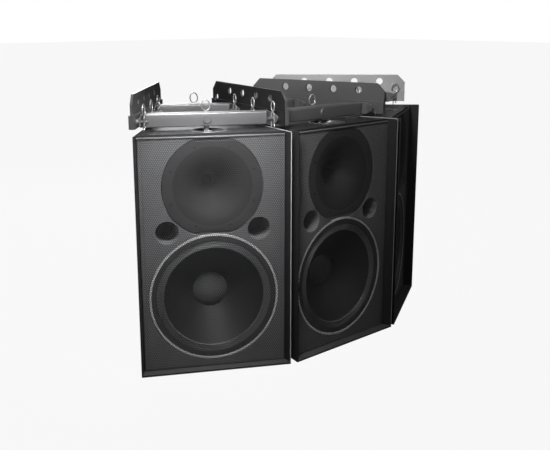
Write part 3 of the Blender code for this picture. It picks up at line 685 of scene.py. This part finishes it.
def spigot_spots():
    """Name and distance along the plate of each spigot."""
    ends = [(where, spigot_along(y - SPIGOT_AHEAD)) for where, y in zip(("front", "rear"), TUBE_YS)]
    return ends + [("centre", MID_SPIGOT)]


def pin_steps(index, side, where):
    """Shaft steps of a spigot, of a bolt with a flat head, or of a plain rivet head."""
    face, collar = BAR_T / 2, BAR_T / 2 + WASHER_T
    if side == CLIP_SIDE[index]:
        steps = [(WASHER_R, PLATE_T, collar), (PIN_R, collar, SPIGOT_LEN)]
    elif index in (1, 2) and where != "centre":
        head = collar + LUG_T + 4 * FIT
        steps = [(WASHER_R, PLATE_T, collar), (PIN_R, collar, head), (WASHER_R, head, head + RIVET_T)]
    else:
        steps = [(WASHER_R, PLATE_T, face + RIVET_T)]
    return [(radius, side * start, side * end) for radius, start, end in steps]


def side_plate(index):
    """Lifting plate with its thick lower bar, and the pins on both of its sides."""
    c, z0, z1 = PLATE_CHAMFER, PLATE_Z0, PLATE_TOP - CAB_H
    outline = [(PLATE_A0, z0), (PLATE_A1, z0), (PLATE_A1, z1 - c), (PLATE_A1 - c, z1),
               (PLATE_A0 + c, z1), (PLATE_A0, z1 - c)]
    bm = prism(outline, -PLATE_T / 2, PLATE_T / 2)
    upright = Matrix(((0, 0, 1, 0), (1, 0, 0, 0), (0, 1, 0, 0), (0, 0, 0, 1)))
    bmesh.ops.transform(bm, matrix=upright, verts=bm.verts)
    bm = join(bm, box(-BAR_T / 2, BAR_T / 2, PLATE_A0 + 0.0005, PLATE_A1 - 0.0005, z0 + 0.0005, z0 + BAR_H))
    for along, z in PLATE_HOLES:
        bm = cut(bm, rod(PLATE_HOLE_R, -0.02, 0.02, "X", 48, (0.0, along, z)))
    here = plate_frame(index) @ Matrix.Translation((0.0, 0.0, CAB_H))
    # painted light: the rightmost plate wears the much lighter powder for the light it catches
    look_name = "frame_painted_light" if index == 3 else "frame"
    # painted shadow: the second plate's face towards the left cabinet is coloured near black
    shade = (("frame_painted_shadow", lambda c: c.x < -PLATE_T / 2 + 0.0002),) if index == 1 else ()
    node = "side_plate_%d" % (index + 1)
    put("rig_plate_%d" % index, bm, look_name, here, "cluster", [node], bevel=0.0007, accents=shade)
    for where, along in spigot_spots():
        centre = (0.0, along, TUBE_Z - CAB_H)
        for side in (-1, 1):
            bm = shaft(pin_steps(index, side, where), "X", 40, centre, ease=0.0009)
            if side == CLIP_SIDE[index]:
                bm = cut(bm, rod(CLIP_HOLE_R, -OVER, OVER, "Z", 16, (side * SPIGOT_CLIP, along, centre[2])))
            name = "pin_%s_%d_%s" % (where, index, "a" if side < 0 else "b")
            put(name, bm, "zinc", here, "cluster")


def smooth_path(points, steps):
    """Catmull-Rom curve through the points."""
    out = []
    for i in range(len(points) - 1):
        p0, p1 = points[max(i - 1, 0)], points[i]
        p2, p3 = points[i + 1], points[min(i + 2, len(points) - 1)]
        for k in range(steps):
            t = k / steps
            out.append(0.5 * (2 * p1 + (p2 - p0) * t + (2 * p0 - 5 * p1 + 4 * p2 - p3) * t * t
                              + (3 * p1 - p0 - 3 * p2 + p3) * t ** 3))
    out.append(points[-1])
    return out


def clip_path():
    """Centre line of an R-clip: straight leg, tear-shaped loop and waved leg."""
    points = [Vector((0.0, 0.0, CLIP_BOTTOM)), Vector((0.0, 0.0, 0.0)), Vector((0.0, 0.0, 0.015))]
    for i in range(13):
        angle = math.radians(-50.0 + 280.0 * i / 12)
        points.append(Vector((CLIP_LOOP_X + CLIP_RING_WIDE * math.cos(angle), CLIP_LEG_GAP * i / 12,
                              CLIP_RING_Z + CLIP_RING_TALL * math.sin(angle))))
    for x, z in CLIP_LEG:
        points.append(Vector((x, CLIP_LEG_GAP, z)))
    return smooth_path(points, 4)


def clip(name, place):
    """One spring clip on its own body."""
    put("wire_" + name, wire(clip_path(), CLIP_WIRE, 10), "wire", place, "r_" + name, [name])


def rigging_clips():
    """The three end clips of every plate."""
    for index in range(4):
        for where, along in spigot_spots():
            spot = turned(-math.pi / 2, (CLIP_SIDE[index] * SPIGOT_CLIP, along, TUBE_Z))
            clip("clip_end_%s_%d" % (where, index + 1), plate_frame(index) @ spot)


def cabinet(tag, side):
    """One cabinet with its fittings, tubes and mid clips."""
    place = cabinet_frame(side)
    enclosure(tag, place)
    baffle(tag, place)
    grille(tag, place)
    horn(tag, place)
    woofer(tag, place)
    connector(tag, place)
    for where, y in zip(("front", "rear"), TUBE_YS):
        pan(tag, where, y, place)
        tube(tag, where, y, place)
        pin_middle = (0.0, y + TUBE_S / 2 + STUB_LEN / 2, TUBE_Z)
        clip("clip_mid_%s_%s" % (where, tag), place @ Matrix.Translation(pin_middle))


# ---------- studio ----------

# strength of the even fill, and how white the floor is to the camera
FILL = 0.05
FLOOR_WHITE = 0.93
FLOOR_HALF, FLOOR_DROP = 30.0, 0.002
# name, place, aim, width in metres, watts, spread in degrees
LIGHTS = (("key", (-0.70, -0.57, 1.27), (-0.47, -0.17, 0.66), 0.34, 2.6, 60.0),
          ("camera_side", (-2.3, -1.9, 2.2), (-0.1, 0.0, 0.75), 1.5, 2.6, 180.0),
          ("rigging", (-1.5, -1.0, 1.75), (0.45, 0.12, 0.80), 0.4, 1.9, 40.0),
          ("front_right", (0.9, -1.6, 2.0), (0.0, 0.0, 0.85), 0.9, 4.0, 180.0),
          ("back", (1.0, 3.0, 2.0), (0.0, 0.1, 0.45), 2.0, 60.0, 180.0),
          ("back_left", (-2.6, 2.0, 1.4), (-0.4, 0.2, 0.4), 1.5, 22.0, 180.0))


# where the camera stands, its angles in degrees and its focal length in millimetres
CAMERA_PLACE, CAMERA_PITCH, CAMERA_TURN, CAMERA_LENS = (-1.996, -2.050, 1.052), 13.74, -43.41, 56.1


def area_light(name, place, aim, size, power, spread):
    """Round soft light that the camera does not see."""
    data = bpy.data.lights.new(name, "AREA")
    data.shape = "DISK"
    data.size = size
    data.energy = power
    data.spread = math.radians(spread)
    obj = bpy.data.objects.new(name, data)
    bpy.context.scene.collection.objects.link(obj)
    obj.location = place
    obj.rotation_euler = (Vector(aim) - Vector(place)).to_track_quat("-Z", "Y").to_euler()
    obj.visible_camera = False
    return obj


def white_to_camera(tree, shader, target, share):
    """Mix plain white into what the camera sees directly, so the studio reads as a white sweep."""
    nodes, links = tree.nodes, tree.links
    glow = nodes.new("ShaderNodeEmission")
    path = nodes.new("ShaderNodeLightPath")
    part = nodes.new("ShaderNodeMath")
    part.operation = "MULTIPLY"
    part.inputs[1].default_value = share
    mix = nodes.new("ShaderNodeMixShader")
    links.new(path.outputs["Is Camera Ray"], part.inputs[0])
    links.new(part.outputs[0], mix.inputs[0])
    links.new(shader.outputs[0], mix.inputs[1])
    links.new(glow.outputs[0], mix.inputs[2])
    links.new(mix.outputs[0], target.inputs["Surface"])


def studio():
    """White surroundings, pale floor and soft lights."""
    world = bpy.data.worlds.new("studio")
    bpy.context.scene.world = world
    bpy.context.scene.view_settings.view_transform = "Standard"
    world.use_nodes = True
    sky = world.node_tree.nodes["Background"]
    sky.inputs["Color"].default_value = (1.0, 1.0, 1.0, 1.0)
    sky.inputs["Strength"].default_value = FILL
    white_to_camera(world.node_tree, sky, world.node_tree.nodes["World Output"], 1.0)
    floor = bmesh.new()
    bmesh.ops.create_grid(floor, x_segments=2, y_segments=2, size=FLOOR_HALF)
    mesh = bpy.data.meshes.new("floor")
    floor.to_mesh(mesh)
    floor.free()
    obj = bpy.data.objects.new("floor", mesh)
    obj.location = (0.0, 0.0, -FLOOR_DROP)
    bpy.context.scene.collection.objects.link(obj)
    paper = surface("floor_paper", (0.14, 0.14, 0.14), 0.8, grain=40.0, bump=0.02, tone=0.01)
    tree = paper.node_tree
    white_to_camera(tree, tree.nodes["Principled BSDF"], tree.nodes["Material Output"], FLOOR_WHITE)
    mesh.materials.append(paper)
    [area_light(*light) for light in LIGHTS]


def camera():
    """Three-quarter view from the front left, slightly above."""
    data = bpy.data.cameras.new("camera")
    data.lens = CAMERA_LENS
    data.sensor_width = 36.0
    obj = bpy.data.objects.new("camera", data)
    bpy.context.scene.collection.objects.link(obj)
    obj.location = CAMERA_PLACE
    obj.rotation_euler = (math.radians(90.0 - CAMERA_PITCH), 0.0, math.radians(CAMERA_TURN))
    bpy.context.scene.camera = obj


for cab_tag, cab_side in CABINETS:
    cabinet(cab_tag, cab_side)
for plate_index in range(4):
    side_plate(plate_index)
rigging_clips()
studio()
camera()
